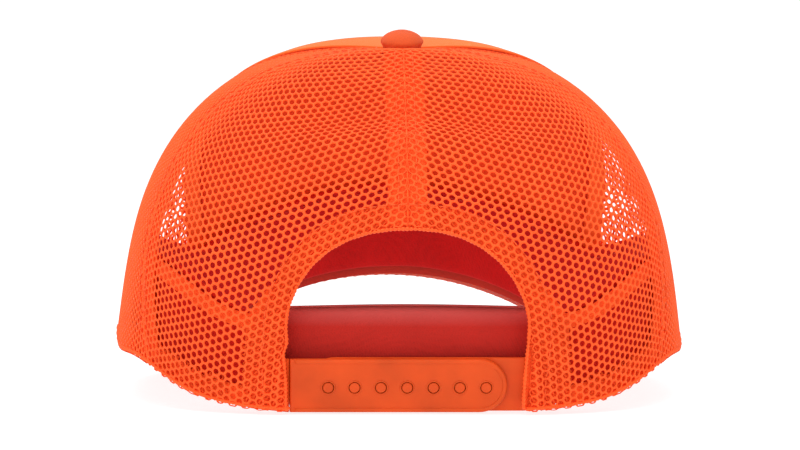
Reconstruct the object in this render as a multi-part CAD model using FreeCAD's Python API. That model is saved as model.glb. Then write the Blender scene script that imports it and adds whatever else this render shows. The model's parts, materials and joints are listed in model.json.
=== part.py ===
"""Trucker mesh cap: a foam front, four mesh panels, a curved brim, a covered button and a peg closure.

Everything is designed level, in the cap's own frame: X to the wearer's left, the front at -Y and the
strap at +Y, Z = 0 at the hem beside the strap. settle() then tips the cap back onto its hem and the two
low sides of its brim, as it rests on a table, with the origin at the bottom centre of its box.
"""
import FreeCAD, Part
import math
import os

Vec = FreeCAD.Vector

# Plan outline of the crown at its hem, as two half superellipses that meet at the widest line
HALF_WIDTH = 94.0
BACK_REACH = 103.0
FRONT_REACH = 69.0
WIDEST_Y = -15.0
BACK_POWER = 2.95
FRONT_POWER = 2.75

# Profile of the crown from hem to button
CROWN_HEIGHT = 102.5
APEX_Y = -4.0
PROFILE_BACK = 2.05
PROFILE_SIDE = 2.62
PROFILE_FRONT = 4.2
SIDE_FLARE = 0.05
TOP_SLOPE = 0.10
HEM_LIFT = 6.5
HEM_LIFT_AT = 54.0
HEM_LIFT_SPREAD = 13.5
TOP_PSI = 88.6

# Panel seams, as angles round the crown from the back centre
MID_SEAM_HEM = 51.0
MID_SEAM_TOP = 84.0
FRONT_SEAM = 130.0
FRONT_SWEEP = 14.0

# Layers of the crown, as depths below its outer face
MESH_THICK = 1.0
FACE_THICK = 0.8
FOAM_THICK = 3.4
LAYER_GAP = 0.15
SEAM_GAP = 0.42
TAPE_GAP = 0.3
TAPE_THICK = 0.7
FACING_THICK = 0.7
BAND_DEPTH = 5.4
BAND_THICK = 1.2
PAD_THICK = 1.2
BAND_HEIGHT = 35.0
BAND_DROP = 0.5
TAPE_WIDTH = 15.0
TAPE_CLEARANCE = 2.0
FACING_WIDTH = 9.0
FACING_INSET = 1.9
FOAM_TOP_PSI = 85.5

# Arched opening over the strap
ARCH_HALF = 38.5
ARCH_SPRING_Z = 28.0
ARCH_TOP_Z = 59.5

# Brim, bent to a cylinder whose axis falls towards its tip
BRIM_RADIUS = 105.0
BRIM_FALL = 18.0
BRIM_LENGTH = 68.0
BRIM_HALF = 79.0
BRIM_WIDEST_Y = -86.0
BRIM_POWER = 2.25
BRIM_END_ANGLE = 126.0
BRIM_CENTRE_Z = 1.8
BOARD_THICK = 1.8
COVER_THICK = 0.7
BRIM_GAP = 0.2
BRIM_EDGE_STEP = 3.0

# Covered button on the crown's top
BUTTON_R = 7.3
BUTTON_HEIGHT = 5.2
BUTTON_COVER = 0.7
BUTTON_SHELL = 0.6
RIVET_R = 1.2
RIVET_LENGTH = 7.5
WASHER_R = 6.5
WASHER_THICK = 0.8

# Peg closure: two moulded straps, the outer one with holes, the inner one with pegs
STRAP_HEIGHT = 18.2
STRAP_BOTTOM = -0.8
STRAP_THICK = 1.2
STRAP_OUTER_Y = 80.8
STRAP_GAP = 0.4
STRAP_FREE_END = 33.0
STRAP_SEWN = 12.0
INNER_SEWN = 10.0
OUTER_ROOT_TURN = 19.0
INNER_ROOT_TURN = 10.0
PEG_COUNT = 7
PEG_PITCH = 8.7
PEG_Z = 7.7
PEG_R = 1.75
HOLE_R = 2.15
PEG_PROUD = 0.45
HINGE_X = 38.2
HINGE_GAP = 0.08

# Rear length of the sweatband, straight behind the straps
REAR_BAND_Y = 74.2
REAR_BAND_THICK = 2.0
REAR_BAND_HALF = 48.0
REAR_BAND_LIFT = 0.6
REAR_BAND_TOP = 31.0


def outline(angle):
    """Plan point of the hem at an angle in degrees from the back centre."""
    s = math.sin(math.radians(angle))
    c = math.cos(math.radians(angle))
    reach, power = (BACK_REACH, BACK_POWER) if c > 0 else (FRONT_REACH, FRONT_POWER)
    radius = (abs(s / HALF_WIDTH) ** power + abs(c / reach) ** power) ** (-1 / power)
    return radius * s, WIDEST_Y + radius * c


def brim_z(x, y):
    """Height of the brim's middle surface over a plan point."""
    front_y = WIDEST_Y - FRONT_REACH
    bend = BRIM_RADIUS - math.sqrt(BRIM_RADIUS ** 2 - x ** 2)
    return BRIM_CENTRE_Z + (y - front_y) * math.tan(math.radians(BRIM_FALL)) - bend


def blend(value, low, high):
    """Smooth step from 0 at low to 1 at high."""
    k = min(max((value - low) / (high - low), 0.0), 1.0)
    return k * k * (3 - 2 * k)


def hem_z(angle):
    """Height of the crown's lower edge: lifted at the rear sides, seated on the brim in front."""
    a = abs((angle + 180) % 360 - 180)
    side = HEM_LIFT * math.exp(-((a - HEM_LIFT_AT) / HEM_LIFT_SPREAD) ** 2)
    x, y = outline(a)
    x *= 1 + SIDE_FLARE * math.sin(math.radians(a)) ** 2
    half_brim = BOARD_THICK / 2 + COVER_THICK
    seat = brim_z(min(x, BRIM_HALF), y) - half_brim
    end_x, end_y = outline(BRIM_END_ANGLE)
    end_x *= 1 + SIDE_FLARE * math.sin(math.radians(BRIM_END_ANGLE)) ** 2
    seat_end = brim_z(end_x, end_y) - half_brim
    if a < BRIM_END_ANGLE:
        return side + (seat_end - side) * blend(a, 84.0, BRIM_END_ANGLE)
    return seat


def crown_surface(angle, psi):
    """Outer face of the crown: angle round from the back, psi up from the hem, in degrees."""
    hem_x, hem_y = outline(angle)
    s = math.sin(math.radians(angle))
    c = math.cos(math.radians(angle))
    other = PROFILE_BACK if c > 0 else PROFILE_FRONT
    power = PROFILE_SIDE + (other - PROFILE_SIDE) * c * c
    up = math.sin(math.radians(psi))
    across = math.cos(math.radians(psi))
    scale = (across ** power + up ** power) ** (-1 / power)
    near, rise = scale * across, scale * up
    flare = 1 + SIDE_FLARE * (1 - rise) ** 3 * s * s
    x = hem_x * near * flare
    y = APEX_Y + (hem_y - APEX_Y) * near
    z = hem_z(angle) * (1 - rise) + CROWN_HEIGHT * rise + TOP_SLOPE * (y - APEX_Y) * rise ** 2
    return Vec(x, y, z)


def crown_point(angle, psi, depth):
    """A point that lies depth below the crown's outer face."""
    step = 0.05
    around = crown_surface(angle + step, psi) - crown_surface(angle - step, psi)
    upward = crown_surface(angle, psi + step) - crown_surface(angle, max(psi - step, 0.0))
    inward = upward.cross(around)
    inward.normalize()
    point = crown_surface(angle, psi)
    centre = Vec(0, APEX_Y, 0.3 * CROWN_HEIGHT)
    if inward.dot(centre - point) < 0:
        inward = inward * -1
    return point + inward * depth


def psi_at_height(angle, height):
    """The psi at which the crown is height above its own hem at this angle."""
    low, high = 0.0, 80.0
    for _ in range(30):
        middle = (low + high) / 2
        if crown_surface(angle, middle).z - crown_surface(angle, 0).z < height:
            low = middle
        else:
            high = middle
    return low


def mid_seam(psi):
    """Angle of the seam between a side panel and a back panel."""
    return MID_SEAM_HEM + (MID_SEAM_TOP - MID_SEAM_HEM) * (psi / TOP_PSI) ** 0.9


def front_seam(psi):
    """Angle of the seam between a side panel and the front, which sweeps back as it rises."""
    return FRONT_SEAM - FRONT_SWEEP * blend(psi, 8.0, 62.0)


def surface_face(grid):
    surface = Part.BSplineSurface()
    surface.interpolate(grid)
    return surface


def skin(point, near, far, across=13, upward=13):
    """A closed sheet between two depths. point(s, t, depth) gives it for s and t from 0 to 1."""
    grids = []
    for depth in (near, far):
        grids.append([[point(i / (across - 1), j / (upward - 1), depth) for j in range(upward)]
                      for i in range(across)])
    outer, inner = [surface_face(grid) for grid in grids]
    faces = [outer.toShape(), inner.toShape()]
    u0, u1, v0, v1 = outer.bounds()
    for pair in ((outer.uIso(u0), inner.uIso(u0)), (outer.uIso(u1), inner.uIso(u1)),
                 (outer.vIso(v0), inner.vIso(v0)), (outer.vIso(v1), inner.vIso(v1))):
        faces.append(Part.makeRuledSurface(pair[0].toShape(), pair[1].toShape()))
    shell = Part.Shell(faces)
    shell.sewShape()
    solid = Part.Solid(shell)
    if solid.Volume < 0:
        solid.reverse()
    return solid


def wall(start, end, near, far, low=0.0, high=TOP_PSI, gap=0.0):
    """A sheet of the crown between two seams, which are numbers or functions of psi."""
    def edge(side, psi):
        return side(psi) if callable(side) else side

    def point(s, t, depth):
        psi = low + (high - low) * t
        first, last = edge(start, psi), edge(end, psi)
        margin = math.degrees(gap / 90.0)
        angle = first + margin + (last - first - 2 * margin) * s
        return crown_point(angle, psi, depth)
    return skin(point, near, far)


def band(start, end, near, far, height, drop=0.0, across=15):
    """A strip of constant height that follows the hem."""
    def point(s, t, depth):
        angle = start + (end - start) * s
        psi = psi_at_height(angle, height * t) if t > 0 else 0.0
        return crown_point(angle, psi, depth) - Vec(0, 0, drop)
    return skin(point, near, far, across, 5)


def mirrored(shape):
    return shape.mirror(Vec(0, 0, 0), Vec(1, 0, 0))


def arch_prism(grow):
    """A long prism through the back wall, with the arch's outline grown by a margin."""
    half = ARCH_HALF + grow
    rise = ARCH_TOP_Z - ARCH_SPRING_Z + grow
    base_z = -20.0
    side = Part.LineSegment(Vec(half, 0, base_z), Vec(half, 0, ARCH_SPRING_Z)).toShape()
    ellipse = Part.Ellipse(Vec(0, 0, ARCH_SPRING_Z), max(half, rise), min(half, rise))
    ellipse.Axis = Vec(0, -1, 0)
    ellipse.XAxis = Vec(1, 0, 0)
    top = Part.ArcOfEllipse(ellipse, 0, math.pi).toShape()
    other = Part.LineSegment(Vec(-half, 0, ARCH_SPRING_Z), Vec(-half, 0, base_z)).toShape()
    base = Part.LineSegment(Vec(-half, 0, base_z), Vec(half, 0, base_z)).toShape()
    face = Part.Face(Part.Wire([side, top, other, base]))
    return face.extrude(Vec(0, 120, 0))


def crown_panels():
    """Front cloth and foam, two side meshes and two back meshes."""
    parts = {}

    def front_end(psi):
        return 360 - front_seam(psi)
    parts["front_face_fabric"] = wall(front_seam, front_end, 0, FACE_THICK, gap=SEAM_GAP)
    foam_depth = FACE_THICK + LAYER_GAP
    parts["front_foam"] = wall(front_seam, front_end, foam_depth, foam_depth + FOAM_THICK,
                               high=FOAM_TOP_PSI, gap=SEAM_GAP)
    side = wall(mid_seam, front_seam, 0, MESH_THICK, gap=SEAM_GAP)
    parts["mesh_side_left"] = side
    parts["mesh_side_right"] = mirrored(side)
    back = wall(0.0, mid_seam, 0, MESH_THICK, gap=SEAM_GAP).cut(arch_prism(0))
    parts["mesh_back_left"] = back
    parts["mesh_back_right"] = mirrored(back)
    return parts


def seam_tapes():
    """Tapes sewn over the seams inside, and facings folded round the arch and along the hem."""
    near = MESH_THICK + TAPE_GAP
    far = near + TAPE_THICK
    half = math.degrees(TAPE_WIDTH / 2 / 92.0)
    parts = {}
    tape_low = psi_at_height(0, ARCH_TOP_Z + FACING_WIDTH + TAPE_CLEARANCE)
    parts["back_seam_tape"] = wall(lambda psi: -half / max(math.cos(math.radians(psi)), 0.35),
                                   lambda psi: half / max(math.cos(math.radians(psi)), 0.35),
                                   near, far, tape_low, 82.0)
    band_low = BAND_HEIGHT + 2.0
    mid_low = psi_at_height(MID_SEAM_HEM, band_low)
    mid = wall(lambda psi: mid_seam(psi) - half, lambda psi: mid_seam(psi) + half,
               near, far, mid_low, 82.0)
    parts["mid_seam_tape_left"] = mid
    parts["mid_seam_tape_right"] = mirrored(mid)
    front_low = psi_at_height(FRONT_SEAM, band_low)
    front = wall(lambda psi: front_seam(psi) - 1.5 * half, lambda psi: front_seam(psi) - 0.5,
                 near, far, front_low, 82.0)
    parts["front_seam_tape_left"] = front
    parts["front_seam_tape_right"] = mirrored(front)
    parts["arch_facing"] = arch_facing(near, near + FACING_THICK)
    hem = band(arch_edge_angle() + 1.0, FRONT_SEAM - 1.0, near, near + FACING_THICK, FACING_WIDTH)
    hem = hem.cut(arch_prism(FACING_WIDTH + 0.3))
    parts["hem_facing_left"] = hem
    parts["hem_facing_right"] = mirrored(hem)
    return parts


def arch_edge_angle():
    """Angle round the crown at which the hem meets the side of the arch."""
    low, high = 0.0, 60.0
    for _ in range(40):
        middle = (low + high) / 2
        if outline(middle)[0] < ARCH_HALF:
            low = middle
        else:
            high = middle
    return low


def arch_facing(near, far):
    """The doubled edge round the arch: the back wall between the arch and the arch grown."""
    high = psi_at_height(0, ARCH_TOP_Z + FACING_WIDTH + 12.0)
    sheet = wall(-40.0, 40.0, near, far, 0.0, high)
    return sheet.common(arch_prism(FACING_WIDTH)).cut(arch_prism(FACING_INSET))


def sweatband():
    """The strip round the forehead, its padding, and the straight rear length behind the strap."""
    parts = {}
    start = 30.0
    end = 360 - start
    face = BAND_DEPTH + PAD_THICK + LAYER_GAP
    parts["sweatband_padding"] = band(start, end, BAND_DEPTH, BAND_DEPTH + PAD_THICK,
                                      BAND_HEIGHT - 3.0, across=33)
    parts["sweatband"] = band(start, end, face, face + BAND_THICK, BAND_HEIGHT, BAND_DROP, 33)
    rear = Part.makeBox(2 * REAR_BAND_HALF, REAR_BAND_THICK, REAR_BAND_TOP - REAR_BAND_LIFT,
                        Vec(-REAR_BAND_HALF, REAR_BAND_Y, REAR_BAND_LIFT))
    top_edges = [e for e in rear.Edges if abs(e.BoundBox.ZMin - rear.BoundBox.ZMax) < 1e-6
                 and e.BoundBox.XLength > 50]
    parts["sweatband_rear"] = rear.makeFillet(0.9, top_edges)
    return parts


def brim_outline(shrink):
    """Plan face of the brim, butted to the crown's edge and shrunk at its outer edge."""
    steps = 12
    half = BRIM_HALF - shrink
    tip_y = WIDEST_Y - FRONT_REACH - BRIM_LENGTH + shrink
    temple = crown_point(BRIM_END_ANGLE, 0, -BRIM_EDGE_STEP)
    outer = [Vec(-temple.x, temple.y, 0)]
    for i in range(1 - steps, steps):
        turn = math.pi / 2 * i / steps
        x = half * math.copysign(abs(math.sin(turn)) ** (2 / BRIM_POWER), turn)
        y = BRIM_WIDEST_Y + (tip_y - BRIM_WIDEST_Y) * math.cos(turn) ** (2 / BRIM_POWER)
        outer.append(Vec(x, y, 0))
    outer.append(Vec(temple.x, temple.y, 0))
    inner = []
    count = 9
    for i in range(count):
        angle = BRIM_END_ANGLE + (360 - 2 * BRIM_END_ANGLE) * i / (count - 1)
        point = crown_point(angle, 0, -BRIM_GAP)
        inner.append(Vec(point.x, point.y, 0))
    front = Part.BSplineCurve()
    front.interpolate(outer)
    back = Part.BSplineCurve()
    back.interpolate(inner)
    right = Part.LineSegment(inner[-1], outer[0]).toShape()
    left = Part.LineSegment(outer[-1], inner[0]).toShape()
    return Part.Face(Part.Wire([front.toShape(), left, back.toShape(), right]))


def brim_sheet(low, high, shrink):
    """One layer of the brim between two heights over its middle surface."""
    plan = brim_outline(shrink)
    prism = plan.copy()
    prism.translate(Vec(0, 0, -120))
    prism = prism.extrude(Vec(0, 0, 200))
    start_y = -20.0
    top_z = BRIM_CENTRE_Z + (start_y - WIDEST_Y + FRONT_REACH) * math.tan(math.radians(BRIM_FALL))
    centre = Vec(0, start_y, top_z - BRIM_RADIUS)
    half_turn = 68.0

    def arc(radius, begin, middle, finish):
        points = [centre + Vec(radius * math.sin(math.radians(a)), 0, radius * math.cos(math.radians(a)))
                  for a in (begin, middle, finish)]
        return Part.Arc(*points).toShape(), points[0], points[2]
    upper, a, b = arc(BRIM_RADIUS + high, -half_turn, 0, half_turn)
    lower, c, d = arc(BRIM_RADIUS + low, half_turn, 0, -half_turn)
    profile = Part.Face(Part.Wire([upper, Part.LineSegment(b, c).toShape(), lower,
                                   Part.LineSegment(d, a).toShape()]))
    length = 150.0
    fall = math.tan(math.radians(BRIM_FALL)) * length
    return profile.extrude(Vec(0, -length, -fall)).common(prism)


def brim():
    half_board = BOARD_THICK / 2
    return {
        "brim_board": brim_sheet(-half_board, half_board, 1.5),
        "brim_top_cover": brim_sheet(half_board, half_board + COVER_THICK, 0.0),
        "brim_under_cover": brim_sheet(-half_board - COVER_THICK, -half_board, 0.0),
    }


def dome(radius, height, foot):
    """A button's spherical cap on a short bevelled foot, standing on its own axis."""
    centre_z = (height ** 2 - foot ** 2 - radius ** 2) / (2 * (height - foot))
    ball_r = height - centre_z
    ball = Part.makeSphere(ball_r, Vec(0, 0, centre_z))
    cap = ball.common(Part.makeCylinder(radius, height + 1.0, Vec(0, 0, foot)))
    base = Part.makeCone(radius - 0.7, radius, foot)
    return cap.fuse(base).removeSplitter()


def button():
    """Cloth cover, pressed shell, rivet and the washer that clinches it inside the crown."""
    base = Vec(0, APEX_Y, CROWN_HEIGHT + 1.2)
    cover = dome(BUTTON_R, BUTTON_HEIGHT, 1.6)
    shell = dome(BUTTON_R - BUTTON_COVER, BUTTON_HEIGHT - BUTTON_COVER, 1.5)
    hollow = dome(BUTTON_R - BUTTON_COVER - BUTTON_SHELL, BUTTON_HEIGHT - BUTTON_COVER - BUTTON_SHELL, 1.4)
    head = Part.makeCylinder(3.0, 0.8)
    shank = Part.makeCylinder(RIVET_R, RIVET_LENGTH, Vec(0, 0, -RIVET_LENGTH))
    washer = Part.makeCylinder(WASHER_R, WASHER_THICK).cut(Part.makeCylinder(RIVET_R + 0.05, WASHER_THICK))
    parts = {
        "button_cover": cover.cut(shell),
        "button_shell": shell.cut(hollow),
        "button_rivet": head.fuse(shank).removeSplitter(),
    }
    for shape in parts.values():
        shape.translate(base)
    washer.translate(base - Vec(0, 0, RIVET_LENGTH - 0.4))
    parts["button_washer"] = washer
    return parts


def strap_blank(free_x, root_x, y):
    """A flat strap with a rounded free end, from free_x to root_x, with its inner face at y."""
    radius = STRAP_HEIGHT / 2
    low, high = STRAP_BOTTOM, STRAP_BOTTOM + STRAP_HEIGHT
    way = 1 if root_x > free_x else -1
    bend_x = free_x + way * radius
    wire = Part.Wire([
        Part.LineSegment(Vec(root_x, y, low), Vec(bend_x, y, low)).toShape(),
        Part.Arc(Vec(bend_x, y, low), Vec(free_x, y, low + radius), Vec(bend_x, y, high)).toShape(),
        Part.LineSegment(Vec(bend_x, y, high), Vec(root_x, y, high)).toShape(),
        Part.LineSegment(Vec(root_x, y, high), Vec(root_x, y, low)).toShape(),
    ])
    return Part.Face(wire).extrude(Vec(0, STRAP_THICK, 0))


def sewn_root(x, y, length, turn):
    """The end of a strap that is sewn inside the hem, turned in to follow the crown."""
    root = Part.makeBox(length, STRAP_THICK, STRAP_HEIGHT, Vec(x, y, STRAP_BOTTOM))
    root.rotate(Vec(x, y + STRAP_THICK, 0), Vec(0, 0, 1), -turn)
    return root


def closure():
    """The holed outer strap and its sewn root, and the pegged inner strap."""
    inner_y = STRAP_OUTER_Y - STRAP_GAP - STRAP_THICK
    outer = strap_blank(-STRAP_FREE_END, HINGE_X, STRAP_OUTER_Y)
    bead_r = STRAP_THICK / 2
    bead = Part.makeCylinder(bead_r, STRAP_HEIGHT, Vec(HINGE_X, STRAP_OUTER_Y + bead_r, STRAP_BOTTOM))
    outer = outer.fuse(bead).removeSplitter()
    inner = strap_blank(STRAP_FREE_END, -ARCH_HALF, inner_y)
    for i in range(PEG_COUNT):
        x = (i - (PEG_COUNT - 1) / 2) * PEG_PITCH
        hole = Part.makeCylinder(HOLE_R, 3 * STRAP_THICK, Vec(x, STRAP_OUTER_Y - STRAP_THICK, PEG_Z),
                                 Vec(0, 1, 0))
        outer = outer.cut(hole)
        length = STRAP_GAP + STRAP_THICK + PEG_PROUD
        peg = Part.makeCylinder(PEG_R, length + 0.5, Vec(x, inner_y + STRAP_THICK - 0.5, PEG_Z), Vec(0, 1, 0))
        rim = [e for e in peg.Edges if abs(e.BoundBox.YMin - peg.BoundBox.YMax) < 1e-4]
        inner = inner.fuse(peg.makeFillet(0.5, rim))
    root_x = HINGE_X + bead_r + HINGE_GAP + STRAP_THICK * math.sin(math.radians(OUTER_ROOT_TURN))
    root = sewn_root(root_x, STRAP_OUTER_Y, STRAP_SEWN, OUTER_ROOT_TURN)
    inner_root = sewn_root(ARCH_HALF, inner_y, INNER_SEWN, INNER_ROOT_TURN)
    inner = inner.fuse(mirrored(inner_root))
    return {
        "strap_outer": outer,
        "strap_outer_root": root,
        "strap_inner": inner.removeSplitter(),
    }


def rest_tilt():
    """The lean at which the hem beside the strap and the brim's low sides touch one table."""
    hem_y = crown_surface(arch_edge_angle(), 0).y
    thick = BOARD_THICK / 2 + COVER_THICK
    steepest = 0.0
    for i in range(1, 60):
        turn = math.pi / 2 * i / 60
        x = BRIM_HALF * math.sin(turn) ** (2 / BRIM_POWER)
        tip_y = WIDEST_Y - FRONT_REACH - BRIM_LENGTH
        y = BRIM_WIDEST_Y + (tip_y - BRIM_WIDEST_Y) * math.cos(turn) ** (2 / BRIM_POWER)
        steepest = max(steepest, math.atan2(-(brim_z(x, y) - thick), hem_y - y))
    return math.degrees(steepest)


def settle(parts):
    """Tips every part onto the table and centres the whole over the origin."""
    tilt = rest_tilt()
    for shape in parts.values():
        shape.rotate(Vec(0, 0, 0), Vec(1, 0, 0), -tilt)
    box = Part.Compound(list(parts.values())).optimalBoundingBox(False, False)
    shift = Vec(-(box.XMin + box.XMax) / 2, -(box.YMin + box.YMax) / 2, -box.ZMin)
    for shape in parts.values():
        shape.translate(shift)
    print("tilt", round(tilt, 4), "shift", [round(v, 4) for v in shift])


def main():
    os.makedirs("parts", exist_ok=True)
    parts = {}
    for group in (crown_panels, seam_tapes, sweatband, brim, button, closure):
        parts.update(group())
    settle(parts)
    for name, shape in parts.items():
        shape.exportStep(f"parts/{name}.step")
        box = shape.optimalBoundingBox(False, False)
        print(name, "valid", shape.isValid(), "solids", len(shape.Solids), "cm3", round(shape.Volume / 1000, 3),
              "z", round(box.ZMin, 2), round(box.ZMax, 2))


main()
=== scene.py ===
"""Looks of the trucker mesh cap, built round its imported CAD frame.

Shapes are worked out in the cap's own level frame, in millimetres: X to the wearer's left, the front at -Y,
the strap at +Y, Z = 0 at the hem beside the strap. place() takes them to the row frame, in metres, with the
lean and the shift that the closure's joint gives.
"""
import json
import math
import bmesh
import bpy
import numpy as np
from mathutils import Matrix, Vector


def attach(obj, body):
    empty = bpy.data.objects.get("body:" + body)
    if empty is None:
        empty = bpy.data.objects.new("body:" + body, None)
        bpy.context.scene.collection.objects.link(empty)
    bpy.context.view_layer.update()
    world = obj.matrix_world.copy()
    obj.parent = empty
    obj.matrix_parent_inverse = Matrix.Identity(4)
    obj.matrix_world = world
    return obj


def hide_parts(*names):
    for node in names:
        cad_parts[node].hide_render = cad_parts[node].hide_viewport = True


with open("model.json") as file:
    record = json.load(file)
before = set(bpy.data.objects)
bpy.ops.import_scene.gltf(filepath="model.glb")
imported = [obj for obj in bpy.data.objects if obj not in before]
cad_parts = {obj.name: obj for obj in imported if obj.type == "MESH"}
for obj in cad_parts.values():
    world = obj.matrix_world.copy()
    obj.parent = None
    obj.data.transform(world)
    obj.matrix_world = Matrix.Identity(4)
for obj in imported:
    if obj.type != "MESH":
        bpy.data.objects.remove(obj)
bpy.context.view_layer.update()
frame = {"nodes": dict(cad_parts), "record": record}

# The crown's plan and profile, as in the CAD source
HALF_WIDTH = 94.0
BACK_REACH = 103.0
FRONT_REACH = 69.0
WIDEST_Y = -15.0
BACK_POWER = 2.95
FRONT_POWER = 2.75
CROWN_HEIGHT = 102.5
APEX_Y = -4.0
PROFILE_BACK = 2.05
PROFILE_SIDE = 2.62
PROFILE_FRONT = 4.2
SIDE_FLARE = 0.05
TOP_SLOPE = 0.10
HEM_LIFT = 6.5
HEM_LIFT_AT = 54.0
HEM_LIFT_SPREAD = 13.5
TOP_PSI = 88.6
MID_SEAM_HEM = 51.0
MID_SEAM_TOP = 84.0
FRONT_SEAM = 130.0
FRONT_SWEEP = 14.0

# The brim, the button and the closure, as in the CAD source
BRIM_RADIUS = 105.0
BRIM_FALL = 18.0
BRIM_LENGTH = 68.0
BRIM_HALF = 79.0
BRIM_WIDEST_Y = -86.0
BRIM_POWER = 2.25
BRIM_END_ANGLE = 126.0
BRIM_CENTRE_Z = 1.8
BRIM_EDGE_STEP = 3.0
BOARD_THICK = 1.8
COVER_THICK = 0.7
HALF_BRIM = BOARD_THICK / 2 + COVER_THICK
ARCH_HALF = 38.5
ARCH_SPRING_Z = 28.0
ARCH_TOP_Z = 59.5
ARCH_POWER = 2.25
BUTTON_HEIGHT = 5.2
STRAP_HEIGHT = 18.2
STRAP_BOTTOM = -0.8
STRAP_THICK = 1.2
STRAP_OUTER_Y = 80.8
STRAP_FREE_END = 33.0
PEG_COUNT = 7
PEG_PITCH = 8.7
PEG_Z = 7.7
HOLE_R = 2.15
HINGE_X = 38.2
HINGE_Y = STRAP_OUTER_Y + STRAP_THICK / 2
HINGE_Z = STRAP_BOTTOM + STRAP_HEIGHT / 2
BAND_DEPTH = 6.75
BAND_THICK = 1.2
BAND_HEIGHT = 35.0
REAR_BAND_Y = 74.2
REAR_BAND_THICK = 2.0
REAR_BAND_TOP = 31.0
REAR_BOW = 2.2

# The net: distance between hole centres, hole radius, strand relief and points round a hole
PITCH = 2.72
HOLE = 0.90
STRAND = 0.42
RING = 12

# The lower hem's doubled strip, a flat map's reach either side of its centre line, and the thread
HEM_WIDTH = 9.5
FLAT_REACH = 130.0
THREAD_R = 0.17
MM = 0.001

# The two sides of the cap, with the sign of X there
SIDES = (("left", 1), ("right", -1))

JOINT = frame["record"]["behaviour"]["joints"][0]
LEAN_SIN = -JOINT["axis"][1]
LEAN_COS = -JOINT["axis"][2]
HINGE_AT = np.array(JOINT["pos_m"])


def lean(points):
    """Directions from the cap's frame to the row frame."""
    p = np.asarray(points, float)
    x, y, z = p[..., 0], p[..., 1], p[..., 2]
    return np.stack([x, y * LEAN_COS + z * LEAN_SIN, z * LEAN_COS - y * LEAN_SIN], -1)


def place(points):
    """Points from the cap's frame, in mm, to the row frame, in metres."""
    return lean(np.asarray(points, float) - [HINGE_X, HINGE_Y, HINGE_Z]) * MM + HINGE_AT


def smooth(value, low, high):
    """Smooth step from 0 at low to 1 at high."""
    k = np.clip((value - low) / (high - low), 0.0, 1.0)
    return k * k * (3 - 2 * k)


# ---------------------------------------------------------------- crown surface

def outline(angle):
    """Plan point of the hem at an angle in degrees from the back centre."""
    s, c = np.sin(np.radians(angle)), np.cos(np.radians(angle))
    reach = np.where(c > 0, BACK_REACH, FRONT_REACH)
    power = np.where(c > 0, BACK_POWER, FRONT_POWER)
    radius = (np.abs(s / HALF_WIDTH) ** power + np.abs(c / reach) ** power) ** (-1 / power)
    return radius * s, WIDEST_Y + radius * c


def brim_z(x, y):
    """Height of the brim's middle surface over a plan point."""
    front_y = WIDEST_Y - FRONT_REACH
    bend = BRIM_RADIUS - np.sqrt(BRIM_RADIUS ** 2 - np.square(x))
    return BRIM_CENTRE_Z + (y - front_y) * math.tan(math.radians(BRIM_FALL)) - bend


def hem_z(angle):
    """Height of the crown's lower edge: lifted at the rear sides, seated on the brim in front."""
    a = np.abs((np.asarray(angle, float) + 180) % 360 - 180)
    side = HEM_LIFT * np.exp(-((a - HEM_LIFT_AT) / HEM_LIFT_SPREAD) ** 2)

    def seat_at(turn):
        x, y = outline(turn)
        x = x * (1 + SIDE_FLARE * np.sin(np.radians(turn)) ** 2)
        return brim_z(np.minimum(x, BRIM_HALF), y) - HALF_BRIM
    seat, seat_end = seat_at(a), seat_at(BRIM_END_ANGLE)
    return np.where(a < BRIM_END_ANGLE, side + (seat_end - side) * smooth(a, 84.0, BRIM_END_ANGLE), seat)


def crown_base(angle, psi):
    """Outer face of the crown with no creases: angle from the back, psi up from the hem, in degrees."""
    hem_x, hem_y = outline(angle)
    s, c = np.sin(np.radians(angle)), np.cos(np.radians(angle))
    other = np.where(c > 0, PROFILE_BACK, PROFILE_FRONT)
    power = PROFILE_SIDE + (other - PROFILE_SIDE) * c * c
    up = np.sin(np.radians(psi))
    across = np.cos(np.radians(psi))
    scale = (np.abs(across) ** power + np.abs(up) ** power) ** (-1 / power)
    near, rise = scale * across, scale * up
    x = hem_x * near * (1 + SIDE_FLARE * (1 - rise) ** 3 * s * s)
    y = APEX_Y + (hem_y - APEX_Y) * near
    z = hem_z(angle) * (1 - rise) + CROWN_HEIGHT * rise + TOP_SLOPE * (y - APEX_Y) * rise ** 2
    return np.stack([x, y, z], -1)


def crown_normal(angle, psi):
    """Outward normal of the crown's outer face."""
    step = 0.05
    around = crown_base(angle + step, psi) - crown_base(angle - step, psi)
    upward = crown_base(angle, psi + step) - crown_base(angle, np.maximum(psi - step, 0.0))
    n = np.cross(around, upward)
    n /= np.linalg.norm(n, axis=-1, keepdims=True)
    out = crown_base(angle, psi) - np.array([0.0, APEX_Y, 0.3 * CROWN_HEIGHT])
    return n * np.where(np.sum(n * out, -1) < 0, -1.0, 1.0)[..., None]


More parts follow.
